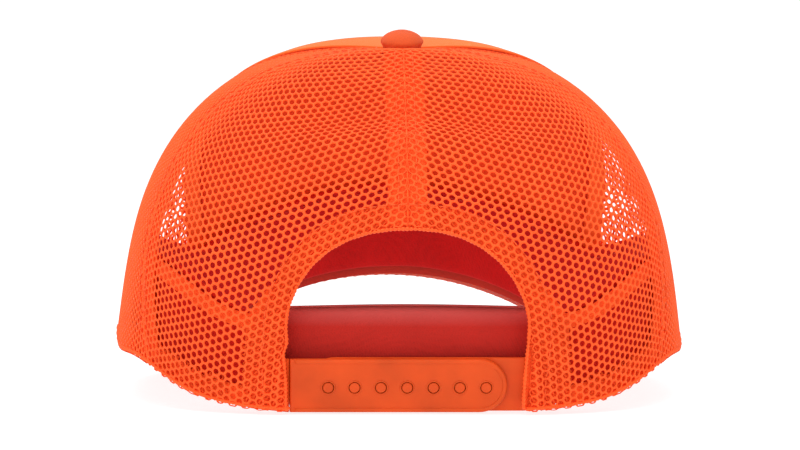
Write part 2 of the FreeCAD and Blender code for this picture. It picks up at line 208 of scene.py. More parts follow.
def crease(point):
    """How far the soft back of the crown sinks at a point: the soft shelf under its top, and slack."""
    x, y, z = point[..., 0], point[..., 1], point[..., 2]
    back = smooth(y, 0.0, 30.0)
    up = z + 0.0014 * x ** 2
    shelf = 3.4 * smooth(up, 85.5, 92.5) * smooth(up, 102.5, 94.0) - 0.8 * np.exp(-((up - 82.5) / 4.5) ** 2)
    shelf = shelf * np.exp(-(x / 48.0) ** 4)
    slack = 0.35 * np.sin(x / 9.0 + z / 17.0) * np.sin(z / 13.0 - x / 31.0)
    fine = 0.12 * np.sin(x / 4.1 - z / 7.7 + 1.3) * np.sin(z / 5.3 + x / 12.0)
    low = smooth(z, 60.0, 20.0)
    pucker = np.exp(-((np.abs(x) - 45.0) / 9.0) ** 2) * smooth(z, 30.0, 12.0) * smooth(z, -3.0, 3.0)
    gather = 0.55 * np.sin(np.abs(x) * 1.25 + z / 9.0) * pucker
    under_front = 0.6 * smooth(z, 40.0, 80.0) * smooth(np.abs(x), 14.0, 40.0)
    drawn = 2.4 * np.exp(-(x / 26.0) ** 2 - ((y - APEX_Y - 13.0) / 8.0) ** 2) * smooth(z, 90.0, 105.0)
    flat_top = 1.5 * np.exp(-(x / 60.0) ** 4 - ((y - APEX_Y + 26.0) / 20.0) ** 2) * smooth(z, 90.0, 105.0)
    return back * (shelf + slack * (1 - 0.4 * low) + fine + gather) + under_front + flat_top - drawn


def crown_point(angle, psi, depth):
    """A point that lies depth below the crown's outer face, creases included."""
    angle, psi = np.broadcast_arrays(np.asarray(angle, float), np.asarray(psi, float))
    base, normal = crown_base(angle, psi), crown_normal(angle, psi)
    return base - normal * (np.asarray(depth) + crease(base))[..., None]


def psi_at_height(angle, height):
    """The psi at which the crown is height above its own hem at this angle."""
    angle = np.asarray(angle, float)
    low, high = np.zeros_like(angle), np.full_like(angle, 84.0)
    start = crown_base(angle, 0.0 * angle)[..., 2]
    for _ in range(30):
        middle = (low + high) / 2
        under = crown_base(angle, middle)[..., 2] - start < height
        low, high = np.where(under, middle, low), np.where(under, high, middle)
    return low


def mid_seam(psi):
    """Angle of the seam between a side panel and a back panel."""
    return MID_SEAM_HEM + (MID_SEAM_TOP - MID_SEAM_HEM) * (np.maximum(psi, 0) / TOP_PSI) ** 0.9


def front_seam(psi):
    """Angle of the seam between a side panel and the front, which sweeps back as it rises."""
    return FRONT_SEAM - FRONT_SWEEP * smooth(psi, 8.0, 62.0)


def mirrored(line, way):
    """A seam's line on the left where way is 1, or its mirror image where way is -1."""
    return lambda psi: way * line(psi)


def arch_half(z, grow, side):
    """Half width of the arch at a height: on the side where the strap bends, the hem stays clear of it."""
    rise = ARCH_TOP_Z - ARCH_SPRING_Z + grow
    k = np.clip((z - ARCH_SPRING_Z) / rise, 0.0, 1.0)
    slack = 1.4 * np.exp(-((z - ARCH_SPRING_Z - 1.0) / 13.0) ** 2)
    slack = slack + np.where(side > 0, 1.5 * smooth(z, 24.0, 19.0), -0.3 * smooth(z, 18.0, 6.0))
    return (ARCH_HALF + grow + slack) * (1 - k ** ARCH_POWER) ** (1 / ARCH_POWER)


def arch_hem_width(z):
    """Width of the arch's doubled hem, which widens beside the strap, where the lower hem runs into it."""
    return 8.3 + 6.5 * smooth(z, 36.0, 22.0)


def past_arch(point, grow):
    """Whether a point lies outside the arch's outline, grown by a margin."""
    x, z = np.abs(point[..., 0]), point[..., 2]
    return (x > arch_half(z, grow, np.sign(point[..., 0]))) | (z > ARCH_TOP_Z + grow)


# ---------------------------------------------------------------- mesh helpers

def add_object(name, points, faces, material, body="crown"):
    """A smooth object of these cap-frame points and faces, in the row frame, riding on a body."""
    data = bpy.data.meshes.new(name)
    data.from_pydata(place(points).tolist(), [], faces)
    data.update()
    data.validate()
    working = bmesh.new()
    working.from_mesh(data)
    bmesh.ops.recalc_face_normals(working, faces=working.faces)
    working.to_mesh(data)
    working.free()
    for polygon in data.polygons:
        polygon.use_smooth = True
    data.materials.append(material)
    piece = bpy.data.objects.new(name, data)
    bpy.context.scene.collection.objects.link(piece)
    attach(piece, body)
    return piece


def grid_faces(rows, columns, wrap=False, start=0, flip=False):
    """Quads of a rows by columns grid of points; wrap joins the last column to the first."""
    faces = []
    for i in range(rows - 1):
        for j in range(columns if wrap else columns - 1):
            k = (j + 1) % columns
            quad = [start + i * columns + j, start + i * columns + k,
                    start + (i + 1) * columns + k, start + (i + 1) * columns + j]
            faces.append(quad[::-1] if flip else quad)
    return faces


def skin_faces(rows, columns):
    """Faces of a closed skin: an upper grid of points, a lower one after it, and the rim between them."""
    count = rows * columns
    faces = grid_faces(rows, columns) + grid_faces(rows, columns, start=count, flip=True)
    rim = list(range(columns)) + [i * columns + columns - 1 for i in range(1, rows)]
    rim += [(rows - 1) * columns + j for j in range(columns - 2, -1, -1)]
    rim += [i * columns for i in range(rows - 2, 0, -1)]
    for a, b in zip(rim, rim[1:] + rim[:1]):
        faces.append([b, a, a + count, b + count])
    return faces


def run_lengths(path):
    """Distance along a path to each of its points."""
    return np.concatenate([[0], np.cumsum(np.linalg.norm(np.diff(path, axis=0), axis=1))])


def read_along(at, lengths, values):
    """Values of a path's points, read at distances along it."""
    return np.stack([np.interp(at, lengths, values[:, k]) for k in range(3)], 1)


def tube_points(path, normals, half_wide, half_deep, sides=10):
    """Rings of an oval tube along a path, wide across the path and deep along the normals."""
    path, normals = np.asarray(path), np.asarray(normals)
    tangent = np.gradient(path, axis=0)
    tangent /= np.linalg.norm(tangent, axis=1, keepdims=True)
    across = np.cross(tangent, normals)
    across /= np.linalg.norm(across, axis=1, keepdims=True)
    up = np.cross(across, tangent)
    turn = np.arange(sides) / sides * 2 * math.pi
    wide = np.broadcast_to(np.asarray(half_wide, float), (len(path),))
    deep = np.broadcast_to(np.asarray(half_deep, float), (len(path),))
    rings = (path[:, None] + across[:, None] * (np.cos(turn)[None, :, None] * wide[:, None, None])
             + up[:, None] * (np.sin(turn)[None, :, None] * deep[:, None, None]))
    return rings.reshape(-1, 3)


def tube_faces(count, sides, start=0):
    """Faces of an oval tube with its two ends closed."""
    faces = grid_faces(count, sides, wrap=True, start=start)
    faces.append([start + j for j in range(sides)][::-1])
    faces.append([start + (count - 1) * sides + j for j in range(sides)])
    return faces


def stitches(name, path, normals, material, length=2.6, gap=0.7):
    """A row of separate short thread stitches that lie along a path."""
    path, normals = np.asarray(path), np.asarray(normals)
    lengths = run_lengths(path)
    count = max(int(lengths[-1] / (length + gap)), 1)
    points, faces = [], []
    sides, rings = 6, 5
    rise = np.array([-1.2, 0.4, 1.0, 0.4, -1.2]) * THREAD_R + 0.02
    thick = np.array([0.7, 1.0, 1.05, 1.0, 0.7]) * THREAD_R
    for i in range(count):
        at = (i + 0.5) * lengths[-1] / count + np.linspace(-0.5, 0.5, rings) * length
        normal = read_along(at, lengths, normals)
        centre = read_along(at, lengths, path) + normal * rise[:, None]
        faces += tube_faces(rings, sides, len(points) * rings * sides)
        points.append(tube_points(centre, normal, thick, thick, sides))
    return add_object(name, np.concatenate(points), faces, material)


# ---------------------------------------------------------------- materials

class Nodes:
    """Short ways to build one node material."""

    def __init__(self, name, roughness=0.8, **fixed):
        self.material = bpy.data.materials.new(name)
        self.material.use_nodes = True
        self.tree = self.material.node_tree
        self.shader = self.tree.nodes["Principled BSDF"]
        self.shader.inputs["Roughness"].default_value = roughness
        for socket, value in fixed.items():
            self.shader.inputs[socket.replace("_", " ")].default_value = value
        self.place = self.add("ShaderNodeTexCoord").outputs["Object"]

    def add(self, kind, **settings):
        """A new node with these settings."""
        node = self.tree.nodes.new(kind)
        for key, value in settings.items():
            setattr(node, key, value)
        return node

    def join(self, source, target):
        """A link from an output to an input."""
        self.tree.links.new(source, target)

    def noise(self, scale, detail):
        """Soft noise over the piece's own coordinates."""
        node = self.add("ShaderNodeTexNoise")
        node.inputs["Scale"].default_value = scale
        node.inputs["Detail"].default_value = detail
        self.join(self.place, node.inputs["Vector"])
        return node.outputs["Fac"]

    def wave(self, scale, direction, distort, at=None):
        """Bands across a direction."""
        node = self.add("ShaderNodeTexWave", bands_direction=direction)
        node.inputs["Scale"].default_value = scale
        node.inputs["Distortion"].default_value = distort
        node.inputs["Detail"].default_value = 1.0
        node.inputs["Detail Scale"].default_value = 1.5
        self.join(at or self.place, node.inputs["Vector"])
        return node.outputs["Fac"]

    def maths(self, operation, a, b):
        """A sum or product of two values, each a number or an output."""
        node = self.add("ShaderNodeMath", operation=operation)
        for value, socket in zip((a, b), node.inputs):
            if isinstance(value, (int, float)):
                socket.default_value = value
            else:
                self.join(value, socket)
        return node.outputs[0]

    def blend(self, *parts):
        """The sum of outputs, each times its own share."""
        total = None
        for source, share in parts:
            part = self.maths("MULTIPLY", source, share)
            total = part if total is None else self.maths("ADD", total, part)
        return total

    def colour(self, value, stops):
        """The base colour: a ramp over a value."""
        node = self.add("ShaderNodeValToRGB")
        elements = node.color_ramp.elements
        while len(elements) < len(stops):
            elements.new(0.5)
        for element, (at, tone) in zip(elements, stops):
            element.position = at
            element.color = (*tone, 1.0)
        self.join(value, node.inputs["Fac"])
        self.join(node.outputs["Color"], self.shader.inputs["Base Color"])

    def bump(self, height, distance, strength):
        """Fine relief from a height."""
        node = self.add("ShaderNodeBump")
        node.inputs["Strength"].default_value = strength
        node.inputs["Distance"].default_value = distance
        self.join(height, node.inputs["Height"])
        self.join(node.outputs["Normal"], self.shader.inputs["Normal"])

    def spread(self, value, side, low, high):
        """A value spread over a range: side is "To" for the range's output, "From" for its input."""
        node = self.add("ShaderNodeMapRange")
        node.inputs[f"{side} Min"].default_value = low
        node.inputs[f"{side} Max"].default_value = high
        self.join(value, node.inputs["Value"])
        return node.outputs["Result"]

    def roughen(self, value, low, high):
        """Roughness that varies with a value."""
        self.join(self.spread(value, "To", low, high), self.shader.inputs["Roughness"])


def shade(colour, factor):
    """A lighter or darker colour."""
    return tuple(min(c * factor, 1.0) for c in colour)


NEON = (1.0, 0.112, 0.018)
# Painted glow: the emission colour that brightens the net, the tapes, the front cloth and the foam, though
# they are no lamps
PAINTED_GLOW_COLOUR = (1.0, 0.09, 0.015, 1.0)


def net_material(name, base, painted_glow):
    """Knitted polyester strands: fine filament streaks, soft sheen and a painted glow that brightens them.
    """
    n = Nodes(name, 0.62, Sheen_Weight=0.06, Sheen_Roughness=0.4, Specular_IOR_Level=0.2,
              Sheen_Tint=(1.0, 0.55, 0.35, 1.0), Emission_Color=PAINTED_GLOW_COLOUR, Emission_Strength=painted_glow)
    patches = n.noise(60.0, 3.0)
    filament = n.noise(5200.0, 1.0)
    mixed = n.blend((patches, 0.6), (filament, 0.4))
    n.colour(mixed, [(0.30, shade(base, 0.86)), (0.52, base), (0.75, shade(base, 1.16))])
    n.roughen(patches, 0.52, 0.72)
    n.bump(filament, 0.00012, 0.6)
    return n.material


def cloth_material(name, base, weave, rough=0.85, sheen=0.1, tint=(1, 0.6, 0.4), depth=0.00012,
                   diagonal=True, painted_glow=0.0):
    """Woven or knitted cloth: threads at the real scale, uneven dye, a soft sheen and a painted glow where
    one is given.
    """
    n = Nodes(name, rough, Sheen_Weight=sheen, Sheen_Roughness=0.5, Specular_IOR_Level=0.25,
              Sheen_Tint=(*tint, 1.0), Emission_Color=PAINTED_GLOW_COLOUR, Emission_Strength=painted_glow)
    turn = n.add("ShaderNodeMapping")
    turn.inputs["Rotation"].default_value = (0.3, 0.2, math.pi / 4 if diagonal else 0.0)
    n.join(n.place, turn.inputs["Vector"])
    warp, weft, across = (n.wave(0.5 / weave, way, 0.4, turn.outputs["Vector"]) for way in "XZY")
    threads = n.maths("MULTIPLY", n.maths("ADD", n.maths("ADD", warp, weft), across), 0.34)
    patches = n.noise(45.0, 4.0)
    fuzz = n.noise(1500.0, 3.0)
    mixed = n.blend((threads, 0.35), (patches, 0.4), (fuzz, 0.25))
    n.colour(mixed, [(0.25, shade(base, 0.74)), (0.5, base), (0.78, shade(base, 1.25))])
    n.roughen(fuzz, rough - 0.1, min(rough + 0.08, 1.0))
    n.bump(n.maths("ADD", threads, n.maths("MULTIPLY", fuzz, 0.5)), depth, 0.8)
    return n


def rear_cloth():
    """The rear band's twill, with a painted highlight: a paler red up to its rolled edge, where light
    catches the fold.
    """
    n = cloth_material("sweatband_rear_twill", (0.50, 0.018, 0.011), 0.00055, 0.92, 0.05,
                       (1.0, 0.6, 0.5), 0.0002)
    base = n.shader.inputs["Base Color"]
    split = n.add("ShaderNodeSeparateXYZ")
    n.join(n.place, split.inputs["Vector"])
    # painted highlight: a paler red blended in over the top few millimetres of the band
    painted_highlight = n.add("ShaderNodeMixRGB")
    painted_highlight.inputs["Color2"].default_value = (0.60, 0.095, 0.085, 1.0)
    n.join(base.links[0].from_socket, painted_highlight.inputs["Color1"])
    n.join(n.spread(split.outputs["Z"], "From", 0.0290, 0.0355), painted_highlight.inputs["Fac"])
    n.join(painted_highlight.outputs["Color"], base)
    return n.material


def plastic_material(name, base):
    """Moulded, faintly translucent polyethylene with a fine satin skin and handling marks."""
    n = Nodes(name, 0.5, Specular_IOR_Level=0.15, Subsurface_Weight=0.15, Subsurface_Scale=0.004,
              Subsurface_Radius=(1.0, 0.35, 0.15), Coat_Weight=0.03, Coat_Roughness=0.3)
    flow = n.noise(70.0, 3.0)
    grain = n.noise(2600.0, 2.0)
    n.colour(flow, [(0.3, shade(base, 0.86)), (0.55, base), (0.8, shade(base, 1.12))])
    n.roughen(n.blend((flow, 0.7), (grain, 0.3)), 0.34, 0.56)
    n.bump(grain, 0.00004, 0.5)
    return n.material


def metal_material(name):
    """Pressed, nickel-plated steel with turning marks and small scratches."""
    n = Nodes(name, 0.35, Metallic=1.0)
    worn = n.noise(300.0, 4.0)
    n.colour(worn, [(0.3, (0.42, 0.41, 0.40)), (0.7, (0.66, 0.65, 0.63))])
    n.roughen(worn, 0.25, 0.5)
    n.bump(n.wave(900.0, "Z", 2.0), 0.00002, 0.4)
    return n.material


def foam_material(name, base, painted_glow):
    """Open-cell foam: fine pores over a warm orange sheet, with a painted glow."""
    n = Nodes(name, 0.95, Sheen_Weight=0.05, Specular_IOR_Level=0.1, Emission_Color=PAINTED_GLOW_COLOUR,
              Emission_Strength=painted_glow)
    pores = n.add("ShaderNodeTexVoronoi")
    pores.inputs["Scale"].default_value = 1700.0
    n.join(n.place, pores.inputs["Vector"])
    cells = pores.outputs["Distance"]
    mixed = n.blend((cells, 0.5), (n.noise(40.0, 3.0), 0.5))
    n.colour(mixed, [(0.2, shade(base, 0.78)), (0.5, base), (0.8, shade(base, 1.15))])
    n.bump(cells, 0.00025, 0.9)
    return n.material


def floor_material():
    """Plain white paper under soft light."""
    n = Nodes("floor_paper", 0.75, Specular_IOR_Level=0.2, Emission_Color=(1.0, 1.0, 1.0, 1.0),
              Emission_Strength=0.81)
    n.colour(n.noise(1.5, 2.0), [(0.3, (0.35, 0.35, 0.352)), (0.7, (0.37, 0.37, 0.372))])
    n.bump(n.noise(400.0, 2.0), 0.00005, 0.2)
    return n.material


def give(material, *nodes):
    """Put a material on CAD nodes that are shown as they are."""
    for node in nodes:
        frame["nodes"][node].data.materials.clear()
        frame["nodes"][node].data.materials.append(material)


# The glow numbers below are painted glow: an emission that brightens the pieces as more light would
NET = net_material("net_yarn", NEON, 0.09)
# Painted shade: a darker copy of the net yarn, with less glow, for the doubled strips inside the hem and the
# arch
NET_SHADED = net_material("net_yarn_painted_shade", shade(NEON, 0.92), 0.07)
TAPE = cloth_material("seam_tape_cloth", (0.98, 0.125, 0.020), 0.0004, diagonal=False, painted_glow=0.12).material
FACE_CLOTH = cloth_material("face_cloth", (1.0, 0.165, 0.022), 0.0004, 0.8, 0.2, diagonal=False,
                            painted_glow=0.08).material
FOAM = foam_material("foam_sheet", (0.80, 0.058, 0.013), 0.05)
REAR_CLOTH = rear_cloth()
BAND_FRONT = cloth_material("sweatband_front_twill", (0.56, 0.008, 0.008), 0.00055, 0.92, 0.1,
                            (1.0, 0.3, 0.25), 0.0002).material
PADDING = cloth_material("padding_felt", (0.60, 0.012, 0.004), 0.0007, 0.95, 0.1, (1.0, 0.3, 0.2),
                         diagonal=False).material
BRIM_CLOTH = cloth_material("brim_twill", (0.92, 0.10, 0.022), 0.0004, 0.85, 0.15).material
# Painted shade: a darker copy of the brim's twill for its underside and the binding at its root, which lie
# in shade
BRIM_PAINTED_SHADE = cloth_material("brim_twill_painted_shade", (0.50, 0.032, 0.018), 0.0004).material
# Painted shade: the button's twill is darker than the crown's cloth, standing in for the shade on its lower
# half
BUTTON_SHADED_CLOTH = cloth_material("button_twill_painted_shade", (0.74, 0.085, 0.012), 0.0003, 0.7).material
STRAP = plastic_material("strap_moulding", (0.72, 0.078, 0.010))
METAL = metal_material("button_metal_plate")
THREAD = cloth_material("sewing_thread", (1.0, 0.12, 0.022), 0.0003, 0.6).material
THREAD_RED = cloth_material("sewing_thread_red", (0.62, 0.03, 0.02), 0.0003, 0.6, 0.4).material


# ---------------------------------------------------------------- the net

class Flat:
    """A nearly isometric flat map of part of the crown: u across and v up, in mm, from a centre line."""

    def __init__(self, centre, low, high):
        self.psi = np.linspace(0.0, TOP_PSI, 180)
        self.angles = np.linspace(low, high, 260)
        grid = crown_base(self.angles[None, :], self.psi[:, None])
        step = np.linalg.norm(np.diff(grid, axis=1), axis=2)
        arc = np.concatenate([np.zeros((len(self.psi), 1)), np.cumsum(step, axis=1)], 1)
        self.v = run_lengths(crown_base(np.full_like(self.psi, centre), self.psi))
        self.us = np.linspace(-FLAT_REACH, FLAT_REACH, 521)
        table = []
        for row in arc:
            row = row - np.interp(centre, self.angles, row)
            angle = np.interp(self.us, row, self.angles)
            left = (self.angles[1] - self.angles[0]) / max(row[1] - row[0], 1e-6)
            right = (self.angles[-1] - self.angles[-2]) / max(row[-1] - row[-2], 1e-6)
            angle = np.where(self.us < row[0], self.angles[0] + (self.us - row[0]) * left, angle)
            angle = np.where(self.us > row[-1], self.angles[-1] + (self.us - row[-1]) * right, angle)
            table.append(angle)
        self.table = np.array(table)

    def at(self, u, v):
        """Angle and psi of flat points."""
        psi = np.interp(v, self.v, self.psi)
        row = np.clip(psi / self.psi[-1] * (len(self.psi) - 1), 0, len(self.psi) - 1.001)
        i = row.astype(int)
        f = row - i
        col = np.clip((u + FLAT_REACH) / (2 * FLAT_REACH) * (len(self.us) - 1), 0, len(self.us) - 1.001)
        j = col.astype(int)
        g = col - j
        t = self.table
        angle = ((1 - f) * ((1 - g) * t[i, j] + g * t[i, j + 1])
                 + f * ((1 - g) * t[i + 1, j] + g * t[i + 1, j + 1]))
        return angle, psi


def turned(points, slope):
    """Flat points turned by a slope."""
    c, s = math.cos(slope), math.sin(slope)
    return np.stack([points[:, 0] * c - points[:, 1] * s, points[:, 0] * s + points[:, 1] * c], 1)


def net_cells(inside, slope, origin, u_range, v_range):
    """Centres of the net's holes, in staggered rows turned by a slope, where inside(u, v) holds."""
    span = int(2 * FLAT_REACH / PITCH)
    rows, places = np.meshgrid(np.arange(-span, span), np.arange(-span, span), indexing="ij")
    across, up = (places + 0.5 * (rows % 2)) * PITCH, rows * (PITCH * math.sqrt(3) / 2)
    flat = np.stack([across, up], -1).reshape(-1, 2)
    u, v = (turned(flat, slope) + origin).T
    near = (u > u_range[0]) & (u < u_range[1]) & (v > v_range[0]) & (v < v_range[1])
    u, v = u[near], v[near]
    kept = inside(u, v)
    return np.stack([u[kept], v[kept]], 1)


def shared_corners(corners):
    """Merges the cells' corners that fall together, perhaps a rounding step apart.

    Gives the merged points, the cells that share each, its place in the first cell's ring, and the merged
    point of every corner.
    """
    row_key = 100003
    keys = np.round(corners / 0.05).astype(np.int64)
    keys = keys[:, 0] * row_key + keys[:, 1]
    steps = (0, -row_key, row_key, -1, 1, -row_key - 1, row_key + 1, 1 - row_key, row_key - 1)
    order, merged, owners, first = {}, [], [], []
    index = np.empty(len(keys), np.int64)
    for k, key in enumerate(keys.tolist()):
        hit = next((order[key + step] for step in steps if key + step in order), len(merged))
        if hit == len(merged):
            order[key] = hit
            merged.append(corners[k])
            owners.append([])
            first.append(k % RING)
        owners[hit].append(k // RING)
        index[k] = hit
    return np.array(merged), owners, np.array(first), index


def net_faces(index, base, mirror):
    """Faces from each cell's corners, above and below, to its hole, and round the net's outer edge."""
    faces, edges = [], {}
    for c, ids in enumerate(index.tolist()):
        own = 2 * base + c * RING
        for k in range(RING):
            m = (k + 1) % RING
            a, b = ids[k], ids[m]
            if a == b:
                continue
            faces.append([a, b, own + m, own + k])
            faces.append([base + b, base + a, own + k, own + m])
            edges.setdefault((min(a, b), max(a, b)), []).append((a, b))
    for uses in edges.values():
        if len(uses) == 1:
            a, b = uses[0]
            faces.append([b, a, base + a, base + b])
    return [face[::-1] for face in faces] if mirror else faces


def net(name, flat, inside, slope, depth, material, u_range, v_range, origin=(0.0, 0.0), mirror=False):
    """A knitted net over the part of a flat map where inside(u, v) holds.

    Each hole is a ring of points in the middle of the sheet. The strands' crowns, shared between
    neighbouring holes, stand out on both sides, so a strand is round. Rows of strands that zigzag across
    stand further out than the short ones between the holes of one row, as in the knitted cloth.
    """
    cells = net_cells(inside, slope, origin, u_range, v_range)
    # even points are the corners of a cell and odd ones the middles of its sides
    turn = (np.arange(RING) + 1) * 2 * math.pi / RING
    even = np.arange(RING) % 2 == 0
    around = np.stack([np.cos(turn), np.sin(turn)], 1)
    ring = turned(around * np.where(even, PITCH / math.sqrt(3), PITCH / 2)[:, None], slope)
    hole = turned(around * HOLE * np.where(even, 1.06, 1.0)[:, None], slope)
    crowns, owners, first, index = shared_corners((cells[:, None] + ring[None]).reshape(-1, 2))
    tops = np.where(np.abs(np.sin(turn)) < 0.1, 0.62, 1.0)[first] * STRAND

    # a crown that lies past the edge moves back to it, towards its cells
    inward = np.array([cells[o].mean(axis=0) for o in owners])
    past = ~inside(crowns[:, 0], crowns[:, 1])
    low, high = np.zeros(len(crowns)), np.ones(len(crowns))
    for _ in range(8):
        middle = (low + high) / 2
        at = inward + (crowns - inward) * middle[:, None]
        fine = inside(at[:, 0], at[:, 1])
        low, high = np.where(fine, middle, low), np.where(fine, high, middle)
    crowns = np.where(past[:, None], inward + (crowns - inward) * low[:, None], crowns)
    shared = np.array([len(o) for o in owners]) >= 2
    rng = np.random.default_rng(7)
    crowns = crowns + rng.normal(0, 0.035, crowns.shape) * shared[:, None]

    # a hole cut by the edge shrinks towards its cell's centre, to leave a strand round it
    holes = (cells[:, None] + hole[None] * (1 + rng.normal(0, 0.03, (len(cells), 1, 1)))).reshape(-1, 2)
    centre = np.repeat(cells, RING, axis=0)
    room = np.linalg.norm(crowns[index] - centre, axis=1) - 0.32
    size = np.linalg.norm(holes - centre, axis=1)
    holes = centre + (holes - centre) * np.clip(room / size, 0.15, 1.0)[:, None]

    def lift(points, offset):
        angle, psi = flat.at(points[:, 0], points[:, 1])
        return crown_point(-angle if mirror else angle, np.clip(psi, 0, TOP_PSI), depth - offset)
    points = np.concatenate([lift(crowns, tops), lift(crowns, -tops), lift(holes, np.zeros(len(holes)))])
    return add_object(name, points, net_faces(index.reshape(-1, RING), len(crowns), mirror), material)


def side_of(flat, test):
    """Turns a test on (angle, psi, point) into one on flat coordinates."""
    def inside(u, v):
        angle, psi = flat.at(u, v)
        point = crown_base(angle, np.clip(psi, 0, TOP_PSI))
        return test(angle, psi, point) & (v >= 0.0) & (v <= flat.v[-1] - 0.3)
    return inside


def off_seam(angle, seam, point, gap):
    """Whether a point is at least gap mm from a seam angle, on the low side if gap is negative."""
    radius = np.hypot(point[..., 0], point[..., 1] - WIDEST_Y)
    away = np.radians(angle - seam) * np.maximum(radius, 3.0)
    return away > gap if gap >= 0 else away < gap


SEAM_GAP = 0.15
ARCH_TRIM = 0.35
back_flat = Flat(24.0, -20.0, 100.0)
side_flat = Flat(92.0, 30.0, 150.0)


def back_panel(angle, psi, point):
    """Whether a point is on the left back panel, clear of its seams and of the arch."""
    return (off_seam(angle, 0.0, point, SEAM_GAP) & off_seam(angle, mid_seam(psi), point, -SEAM_GAP)
            & past_arch(point, ARCH_TRIM))


def side_panel(angle, psi, point):
    """Whether a point is on the left side panel, clear of its two seams."""
    return (off_seam(angle, mid_seam(psi), point, SEAM_GAP)
            & off_seam(angle, front_seam(psi), point, -SEAM_GAP))


def hem_band(angle, psi, point):
    """Whether a point is in the doubled strip along the lower edge, from the arch's hem to the front."""
    cloth = back_panel(angle, psi, point) | (angle > mid_seam(psi))
    low = point[..., 2] - hem_z(angle) < HEM_WIDTH
    clear = past_arch(point, 8.7) & (angle > 10) & off_seam(angle, front_seam(psi), point, -SEAM_GAP)
    return cloth & low & clear


def arch_band(angle, psi, point):
    """Whether a point is in the doubled strip along the left half of the arch."""
    outer = ~past_arch(point, arch_hem_width(point[..., 2]))
    return past_arch(point, ARCH_TRIM) & outer & off_seam(angle, 0.0, point, SEAM_GAP) & (angle < 60)


BACK_SLOPE = math.radians(-27.0)
SIDE_SLOPE = math.radians(30.0)
PANELS = (("back", back_flat, back_panel, BACK_SLOPE, (-60, 100)),
          ("side", side_flat, side_panel, SIDE_SLOPE, (-100, 90)))
for side, way in SIDES:
    for kind, flat, panel, slope, u_range in PANELS:
        cloth = net(f"mesh_{kind}_{side}_net", flat, side_of(flat, panel), slope, STRAND, NET,
                    u_range, (0, 175), mirror=way < 0)
        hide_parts(f"mesh_{kind}_{side}")


# ---------------------------------------------------------------- sheets, tapes and edges

def closed_sheet(name, at, columns, rows, near, far, material):
    """A thin closed sheet. at(s, t, depth) gives its points for s and t from 0 to 1."""
    s, t = np.meshgrid(np.linspace(0, 1, columns), np.linspace(0, 1, rows))
    points = np.concatenate([at(s, t, near).reshape(-1, 3), at(s, t, far).reshape(-1, 3)])
    return add_object(name, points, skin_faces(rows, columns), material)


def beside(angle, psi, away):
    """The angle that lies away mm to the side of another one, at the same psi."""
    step = 0.5
    ahead = crown_base(angle + step, psi) - crown_base(angle - step, psi)
    per_degree = np.linalg.norm(ahead, axis=-1) / (2 * step)
    return angle + away / np.maximum(per_degree, 0.12)


def seam_line(seam, low, high, away=0.0, depth=0.0, count=90):
    """Points and normals along a seam, away mm to its side."""
    psi = np.linspace(low, high, count)
    angle = seam(psi) if callable(seam) else np.full(count, float(seam))
    angle = beside(angle, psi, away)
    return crown_point(angle, psi, depth), crown_normal(angle, psi)


def tape(name, seam, low, high, wide, material, shift=0.0, near=1.35, far=1.75):
    """A woven tape under a seam."""
    def at(s, t, depth):
        psi = low + (high - low) * t
        angle = seam(psi) if callable(seam) else np.full_like(psi, float(seam))
        return crown_point(beside(angle, psi, (s - 0.5) * wide + shift), psi, depth)
    return closed_sheet(name, at, 9, 90, near, far, material)


def psi_for_z(angle, z):
    """The psi at which the crown's outer face is z high."""
    low, high = np.zeros_like(angle), np.full_like(angle, 84.0)
    for _ in range(26):
        middle = (low + high) / 2
        under = crown_base(angle, middle)[..., 2] < z
        low, high = np.where(under, middle, low), np.where(under, high, middle)
    return low


def back_place(x, z):
    """Angle and psi of the point of the crown's back at x and z."""
    x, z = np.broadcast_arrays(np.asarray(x, float), np.asarray(z, float))
    low, high = np.full_like(x, -70.0), np.full_like(x, 70.0)
    for _ in range(26):
        middle = (low + high) / 2
        short = crown_base(middle, psi_for_z(middle, z))[..., 0] < x
        low, high = np.where(short, middle, low), np.where(short, high, middle)
    return low, psi_for_z(low, z)


def arch_line(grow, depth, count=260):
    """Points and normals along the arch's outline, grown by a margin."""
    rise = ARCH_TOP_Z - ARCH_SPRING_Z + grow
    side = np.linspace(1.2, ARCH_SPRING_Z, 40)[:-1]
    turn = np.linspace(0, math.pi, count - 80)
    z = np.concatenate([side, ARCH_SPRING_Z + rise * np.sin(turn), side[::-1]])
    side_of_centre = np.concatenate([np.ones(len(side)), np.sign(np.cos(turn)), -np.ones(len(side))])
    x = arch_half(z, grow, side_of_centre) * side_of_centre
    angle, psi = back_place(x, z)
    return crown_point(angle, psi, depth), crown_normal(angle, psi)


def bumpy_tube(name, path, normals, wide, deep, bump, every, material, sides=10):
    """A rolled edge whose thickness swells a little where each strand is folded over."""
    lengths = run_lengths(path)
    at = np.linspace(0, lengths[-1], int(lengths[-1] / 0.45))
    path, normals = read_along(at, lengths, path), read_along(at, lengths, normals)
    swell = 1 + bump * np.sin(at / every * 2 * math.pi) + 0.4 * bump * np.sin(at / every * 1.13 + 1.0)
    points = tube_points(path, normals, wide * swell, deep * swell, sides)
    return add_object(name, points, tube_faces(len(path), sides), material)


def smooth_point(angle, psi, depth):
    """A point below the crown's outer face, with no creases."""
    return crown_base(angle, psi) - crown_normal(angle, psi) * np.asarray(depth)[..., None]


ARCH_EDGE_ANGLE = float(back_place(ARCH_HALF, 1.0)[0])
BEAD_LOW = 0.6
BEAD_HIGH = 86.0

